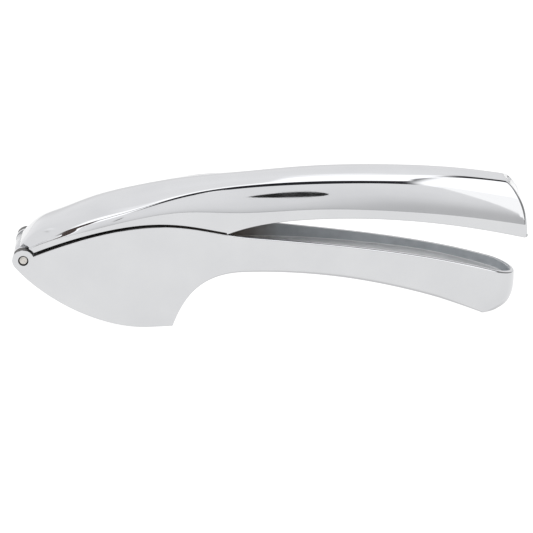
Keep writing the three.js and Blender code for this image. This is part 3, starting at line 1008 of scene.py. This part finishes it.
def plunger():
    def foot_plan(inset):
        left, right = FOOT["left"] + inset, FOOT["right"] - inset
        return rounded_plan(left, right, FOOT["half"] - inset, FOOT["corner"])

    piece = plate("plunger_head", foot_plan, FOOT["bottom"], FOOT["top"], 0.4)
    web = [
        (FOOT["left"] + 2, FOOT["top"] - 0.5), (FOOT["right"] - 2, FOOT["top"] - 0.5),
        (FOOT["right"] - 2, FOOT["top"] + 1), (PIVOT[0] + BOSS_RADIUS, 30),
        (PIVOT[0] + BOSS_RADIUS, PIVOT[1]), (PIVOT[0] - BOSS_RADIUS, PIVOT[1]),
        (PIVOT[0] - BOSS_RADIUS, 30), (FOOT["left"] + 2, FOOT["top"] + 1),
    ]

    def stem_plan(inset):
        half = BOSS_HALF - inset
        return rounded_plan(PIVOT[0] - 2.6 + inset, PIVOT[0] + 2.6 - inset, half, 0.8)

    join(
        piece,
        side_slab("web", web, -1.3, 1.3),
        plate("stem", stem_plan, FOOT["top"] - 0.5, PIVOT[1], 0.1),
        bar("boss", PIVOT, BOSS_RADIUS, -BOSS_HALF, BOSS_HALF, 0.3),
    )
    cut_away(piece, bar("pin_hole", PIVOT, PLUNGER_HOLE_RADIUS, -BOSS_HALF - 1, BOSS_HALF + 1))
    settle_normals(piece, None)
    return piece


def pin(name, centre, radius, half):
    """A steel pin with a faintly domed, chamfered head at each end."""
    end = [(0.35, 0.0), (0.62, 0.01), (0.8, 0.03), (0.9, 0.09), (0.97, 0.2), (1.0, 0.36)]
    low = [(radius * share, -half + drop) for share, drop in end]
    high = [(r, -y) for r, y in reversed(low)]
    piece = turned(name, centre, low + high)
    settle_normals(piece, None, 40)
    return piece


# ---- materials ----


def material(name, base, metal_roughness):
    """A metal with its Principled shader ready for the details that follow."""
    made = bpy.data.materials.new(name)
    made.use_nodes = True
    shader = made.node_tree.nodes["Principled BSDF"]
    shader.inputs["Base Color"].default_value = (*base, 1)
    shader.inputs["Metallic"].default_value = 1
    shader.inputs["Roughness"].default_value = metal_roughness
    return made, made.node_tree, shader


def node(tree, kind, **settings):
    made = tree.nodes.new(kind)
    for name, value in settings.items():
        if hasattr(made, name):
            setattr(made, name, value)
        else:
            made.inputs[name.replace("_", " ")].default_value = value
    return made


def noise(tree, scale, detail, stretch=(1, 1, 1)):
    place = node(tree, "ShaderNodeTexCoord")
    mapping = node(tree, "ShaderNodeMapping")
    mapping.inputs["Scale"].default_value = stretch
    pattern = node(tree, "ShaderNodeTexNoise")
    pattern.inputs["Scale"].default_value = scale
    pattern.inputs["Detail"].default_value = detail
    tree.links.new(place.outputs["Object"], mapping.inputs["Vector"])
    tree.links.new(mapping.outputs["Vector"], pattern.inputs["Vector"])
    return pattern.outputs["Fac"]


def span(tree, value, low, high, start=0.35, stop=0.65):
    """A value taken from one range to another."""
    ranged = node(tree, "ShaderNodeMapRange")
    ranged.inputs["From Min"].default_value = start
    ranged.inputs["From Max"].default_value = stop
    ranged.inputs["To Min"].default_value = low
    ranged.inputs["To Max"].default_value = high
    tree.links.new(value, ranged.inputs["Value"])
    return ranged.outputs["Result"]


def bump(tree, shader, height, distance, strength=1.0):
    raised = node(tree, "ShaderNodeBump")
    raised.inputs["Strength"].default_value = strength
    raised.inputs["Distance"].default_value = distance
    tree.links.new(height, raised.inputs["Height"])
    tree.links.new(raised.outputs["Normal"], shader.inputs["Normal"])


def tint(tree, shader, value, dark, light):
    ramp = node(tree, "ShaderNodeValToRGB")
    ramp.color_ramp.elements[0].position = 0.35
    ramp.color_ramp.elements[0].color = (*dark, 1)
    ramp.color_ramp.elements[1].position = 0.65
    ramp.color_ramp.elements[1].color = (*light, 1)
    tree.links.new(value, ramp.inputs["Fac"])
    tree.links.new(ramp.outputs["Color"], shader.inputs["Base Color"])


def facing_up(tree):
    """How far a surface faces up in its piece's own frame, from -1 to 1."""
    place = node(tree, "ShaderNodeTexCoord")
    split = node(tree, "ShaderNodeSeparateXYZ")
    tree.links.new(place.outputs["Normal"], split.inputs["Vector"])
    return split.outputs["Z"]


def along_press(tree):
    """Place along the press in metres, in the piece's own frame."""
    place = node(tree, "ShaderNodeTexCoord")
    split = node(tree, "ShaderNodeSeparateXYZ")
    tree.links.new(place.outputs["Object"], split.inputs["Vector"])
    return split.outputs["X"]


def over_paint(tree, shader, share, colour, blend="MIX"):
    """Lays a colour over what the shader's base colour has so far, by a share."""
    mixed = node(tree, "ShaderNodeMix", data_type="RGBA", blend_type=blend)
    before = shader.inputs["Base Color"].links[0].from_socket
    tree.links.new(share, mixed.inputs["Factor"])
    tree.links.new(before, mixed.inputs["A"])
    mixed.inputs["B"].default_value = (*colour, 1)
    tree.links.new(mixed.outputs["Result"], shader.inputs["Base Color"])


def chrome_material():
    made, tree, shader = material("polished_chrome", (0.63, 0.635, 0.645), 0.05)
    smudge = noise(tree, 60, 5)
    tint(tree, shader, smudge, (0.615, 0.62, 0.632), (0.64, 0.645, 0.655))
    # Painted shade: faces turned downwards get a darker base colour.
    underside_shade = span(tree, facing_up(tree), 1, 0, -0.75, -0.3)
    over_paint(tree, shader, underside_shade, (0.42, 0.42, 0.43))
    tree.links.new(span(tree, smudge, 0.035, 0.085), shader.inputs["Roughness"])
    bump(tree, shader, noise(tree, 900, 3, (0.25, 1, 1)), 2e-6, 0.25)
    return made


def cast_material():
    made, tree, shader = material("cast_chrome", (0.55, 0.56, 0.57), 0.2)
    grain = noise(tree, 420, 6)
    tint(tree, shader, noise(tree, 70, 4), (0.5, 0.51, 0.525), (0.6, 0.605, 0.615))
    tree.links.new(span(tree, grain, 0.14, 0.3), shader.inputs["Roughness"])
    bump(tree, shader, noise(tree, 260, 4), 1.2e-4, 0.35)
    return made


def grained_material(name, base, roughness, grain, colours, rough_range, relief):
    """A metal whose colour, roughness and relief all follow one grain."""
    made, tree, shader = material(name, base, roughness)
    grain = noise(tree, *grain)
    tint(tree, shader, grain, *colours)
    tree.links.new(span(tree, grain, *rough_range), shader.inputs["Roughness"])
    bump(tree, shader, grain, *relief)
    return made, tree, shader


def seam_shade_material():
    """Painted shade: a near-black finish for the faces in the narrow gaps where the two levers meet.
    """
    colours = ((0.07, 0.068, 0.066), (0.13, 0.128, 0.126))
    made, _, shader = grained_material(
        "painted_seam_shade", (0.1, 0.1, 0.1), 0.5, (500, 5), colours, (0.42, 0.6), (4e-5, 0.4)
    )
    shader.inputs["Metallic"].default_value = 0.6
    return made


def channel_material():
    """The satin inside of the lower handle, with painted light making its floor brighter and a
    painted warm reflection making it tan near the head.
    """
    colours = ((0.46, 0.49, 0.515), (0.54, 0.57, 0.595))
    made, tree, shader = grained_material(
        "satin_channel", (0.5, 0.53, 0.55), 0.45, (260, 5), colours, (0.38, 0.55), (5e-5, 0.3)
    )
    shader.inputs["Metallic"].default_value = 0.12
    # Painted light: faces turned upwards are lightened nearly to white.
    floor = span(tree, facing_up(tree), 0, 1, 0.25, 0.5)
    over_paint(tree, shader, floor, (0.95, 0.955, 0.96))
    # Painted reflection: a warm tan laid over the channel towards the head.
    warm_reflection = span(tree, along_press(tree), 0.5, 0, -0.012, 0.004)
    over_paint(tree, shader, warm_reflection, (0.3, 0.17, 0.08))
    return made


def stainless_material():
    colours = ((0.5, 0.5, 0.49), (0.61, 0.61, 0.6))
    brushed = (900, 4, (0.03, 1, 1))
    return grained_material(
        "brushed_stainless", (0.56, 0.56, 0.55), 0.28, brushed, colours, (0.2, 0.36), (1e-5, 0.4)
    )[0]


def pin_material():
    colours = ((0.5, 0.48, 0.45), (0.66, 0.635, 0.6))
    return grained_material(
        "pin_steel", (0.6, 0.58, 0.55), 0.34, (1500, 5), colours, (0.26, 0.44), (2e-5, 0.5)
    )[0]


# ---- studio ----


def matte_glow(name, base, roughness, level):
    """A plain matte material that gives off light of its own."""
    made, _, shader = material(name, base, roughness)
    shader.inputs["Metallic"].default_value = 0
    shader.inputs["Specular IOR Level"].default_value = 0
    shader.inputs["Emission Color"].default_value = (1, 1, 1, 1)
    shader.inputs["Emission Strength"].default_value = level
    return made


def studio_floor():
    place = (0, 0, -1e-4)
    bpy.ops.mesh.primitive_circle_add(vertices=96, radius=6, fill_type="NGON", location=place)
    floor = bpy.context.object
    floor.name = "floor"
    floor.data.materials.append(matte_glow("pale_floor", (0.16, 0.16, 0.16), 0.9, 0.98))


def studio_world():
    """Soft boxes and cards all round, as bands of brightness by direction: the first angle
    runs from the horizon in front (-Y) over the top to the one behind, the second towards +X."""
    world = bpy.data.worlds.new("studio")
    bpy.context.scene.world = world
    world.use_nodes = True
    tree = world.node_tree
    background = tree.nodes["Background"]
    place = node(tree, "ShaderNodeTexCoord")
    split = node(tree, "ShaderNodeSeparateXYZ")
    tree.links.new(place.outputs["Generated"], split.inputs["Vector"])

    def math_node(operation, first, second=None):
        made = node(tree, "ShaderNodeMath", operation=operation)
        for socket, value in zip(made.inputs, (first, second)):
            if value is None:
                continue
            if isinstance(value, (int, float)):
                socket.default_value = value
            else:
                tree.links.new(value, socket)
        return made.outputs["Value"]

    back = math_node("MULTIPLY", split.outputs["Y"], -1.0)
    over = math_node("DEGREES", math_node("ARCTAN2", split.outputs["Z"], back))
    aside = math_node("DEGREES", math_node("ARCSINE", split.outputs["X"]))

    def step(value, edge, soft):
        ranged = node(tree, "ShaderNodeMapRange", interpolation_type="SMOOTHSTEP")
        ranged.inputs["From Min"].default_value = edge - soft
        ranged.inputs["From Max"].default_value = edge + soft
        tree.links.new(value, ranged.inputs["Value"])
        return ranged.outputs["Result"]

    def window(value, low, high, soft):
        return math_node("SUBTRACT", step(value, low, soft), step(value, high, soft))

    ramp = node(tree, "ShaderNodeValToRGB")
    stops = [
        (0, 0.62), (3, 0.69), (8, 0.91), (13, 1.02), (24, 1.09), (38, 1.1), (40, 1.75),
        (108, 1.75), (118, 1.16), (140, 1.09), (160, 1.04), (180, 0.8),
    ]
    while len(ramp.color_ramp.elements) < len(stops):
        ramp.color_ramp.elements.new(0.5)
    for element, (angle, level) in zip(ramp.color_ramp.elements, stops):
        element.position = angle / 180
    for element, (angle, level) in zip(ramp.color_ramp.elements, stops):
        element.color = (level / 2, level / 2, level / 2 * 1.01, 1)
    tree.links.new(math_node("DIVIDE", over, 180.0), ramp.inputs["Fac"])
    level = node(tree, "ShaderNodeVectorMath", operation="SCALE")
    level.inputs["Scale"].default_value = 2
    tree.links.new(ramp.outputs["Color"], level.inputs[0])
    colour = level.outputs["Vector"]

    def card(colour, mask, shade):
        mixed = node(tree, "ShaderNodeMix", data_type="RGBA")
        tree.links.new(mask, mixed.inputs["Factor"])
        tree.links.new(colour, mixed.inputs["A"])
        mixed.inputs["B"].default_value = (*shade, 1)
        return mixed.outputs["Result"]

    aside_to_hinge = math_node("SUBTRACT", 1.0, step(aside, -15, 4))
    behind = math_node("MULTIPLY", step(over, 101, 2), aside_to_hinge)
    past_hinge = math_node("SUBTRACT", 1.0, step(aside, -32, 2))
    away = math_node("MAXIMUM", behind, math_node("MULTIPLY", step(over, 60, 8), past_hinge))
    colour = card(colour, away, (1.07, 1.07, 1.08))
    # Black flags: two along the crease, a warm one by the hinge and one past the far end.
    for over_range, aside_range, shade in (
        ((40, 86), (-9, 10), (0.03, 0.03, 0.035)),
        ((74, 86), (-26, -8), (0.03, 0.03, 0.035)),
        ((45, 92), (-36, -22), (0.1, 0.075, 0.07)),
        ((90, 127), (10, 60), (0.05, 0.05, 0.05)),
    ):
        within = (window(over, *over_range, 1.5), window(aside, *aside_range, 1.5))
        colour = card(colour, math_node("MULTIPLY", *within), shade)
    side = math_node("MULTIPLY", step(aside, 42, 10), window(over, -5, 175, 2))
    colour = card(colour, side, (0.3, 0.3, 0.3))
    seen = node(tree, "ShaderNodeLightPath")
    colour = card(colour, seen.outputs["Is Camera Ray"], (1.1, 1.1, 1.1))
    tree.links.new(colour, background.inputs["Color"])


def reflected_card(name, outline, y, level):
    """A flat card in front of the press, seen only as a reflection; its outline is in X and Z."""
    mesh = bpy.data.meshes.new(name)
    corners = [Vector((x, y, z)) * MM for x, z in outline]
    mesh.from_pydata(corners, [], [tuple(range(len(corners)))])
    mesh.materials.append(matte_glow(name, (0, 0, 0), 1, level))
    board = bpy.data.objects.new(name, mesh)
    bpy.context.scene.collection.objects.link(board)
    board.visible_camera = False
    board.visible_diffuse = False
    board.visible_shadow = False


def oval(centre, half_length, half_width, tilt):
    tilt = math.radians(tilt)
    outline = []
    sides = 64
    for i in range(sides):
        angle = 2 * math.pi * i / sides
        along, across = half_length * math.cos(angle), half_width * math.sin(angle)
        x = centre[0] + along * math.cos(tilt) - across * math.sin(tilt)
        outline.append((x, centre[1] + along * math.sin(tilt) + across * math.cos(tilt)))
    return outline


def studio_cards():
    """Two small black flags close to the press, and a white board off the handle's end."""
    flags_y = -60
    board_y = -300
    board = [(139, 58), (420, 58), (420, 330), (139, 330)]
    reflected_card("long_flag", oval((10, 64), 11.8, 2.9, -19.5), flags_y, 0.03)
    reflected_card("short_flag", oval((-59, 56.5), 5.3, 0.8, 65), flags_y, 0.25)
    reflected_card("white_board", board, board_y, 1.5)


def studio_camera():
    """The camera looks along +Y and down, rolled a little so that the handle rises."""
    target = Vector((-0.0012, 0, 0.01655))
    elevation = math.radians(17)
    distance = 1.4
    width = 0.1919
    roll = math.radians(1.5)
    data = bpy.data.cameras.new("camera")
    data.sensor_width = 36
    data.lens = data.sensor_width * distance / width
    data.clip_start = 0.05
    data.clip_end = 50
    camera = bpy.data.objects.new("camera", data)
    bpy.context.scene.collection.objects.link(camera)
    offset = Vector((0, -math.cos(elevation), math.sin(elevation))) * distance
    tilt = Matrix.Rotation(math.pi / 2 - elevation, 4, "X")
    camera.matrix_world = Matrix.Translation(target + offset) @ tilt @ Matrix.Rotation(-roll, 4, "Z")
    bpy.context.scene.camera = camera


# ---- assembly ----

CAST = cast_material()
STAINLESS = stainless_material()
PIN = pin_material()
LEVER_FINISHES = (chrome_material(), CAST, seam_shade_material(), channel_material())


def place(piece, body, replaced, slot, finish=None):
    """Puts a piece on its body, in place of a node of the frame; a lever keeps its finishes."""
    if finish:
        piece.data.materials.clear()
        piece.data.materials.append(finish)
    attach(piece, body)
    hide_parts(replaced)


studio_camera()
studio_world()
studio_floor()
studio_cards()
bpy.context.scene.view_settings.view_transform = "Standard"

place(lower_lever(), "base", "lower_body", "chrome")
place(upper_lever(), "lever", "upper_handle", "chrome")
place(strainer_basket(), "base", "strainer_basket", "stainless", STAINLESS)
place(plunger(), "plunger", "plunger", "cast_chrome", CAST)
rivet = pin("hinge_rivet", HINGE, HINGE_PIN_RADIUS, HINGE_PIN_HALF)
place(rivet, "base", "hinge_pin", "pin_steel", PIN)
rivet = pin("plunger_rivet", PIVOT, PLUNGER_PIN_RADIUS, LUG_OUTER - 0.2)
place(rivet, "lever", "plunger_pin", "pin_steel", PIN)
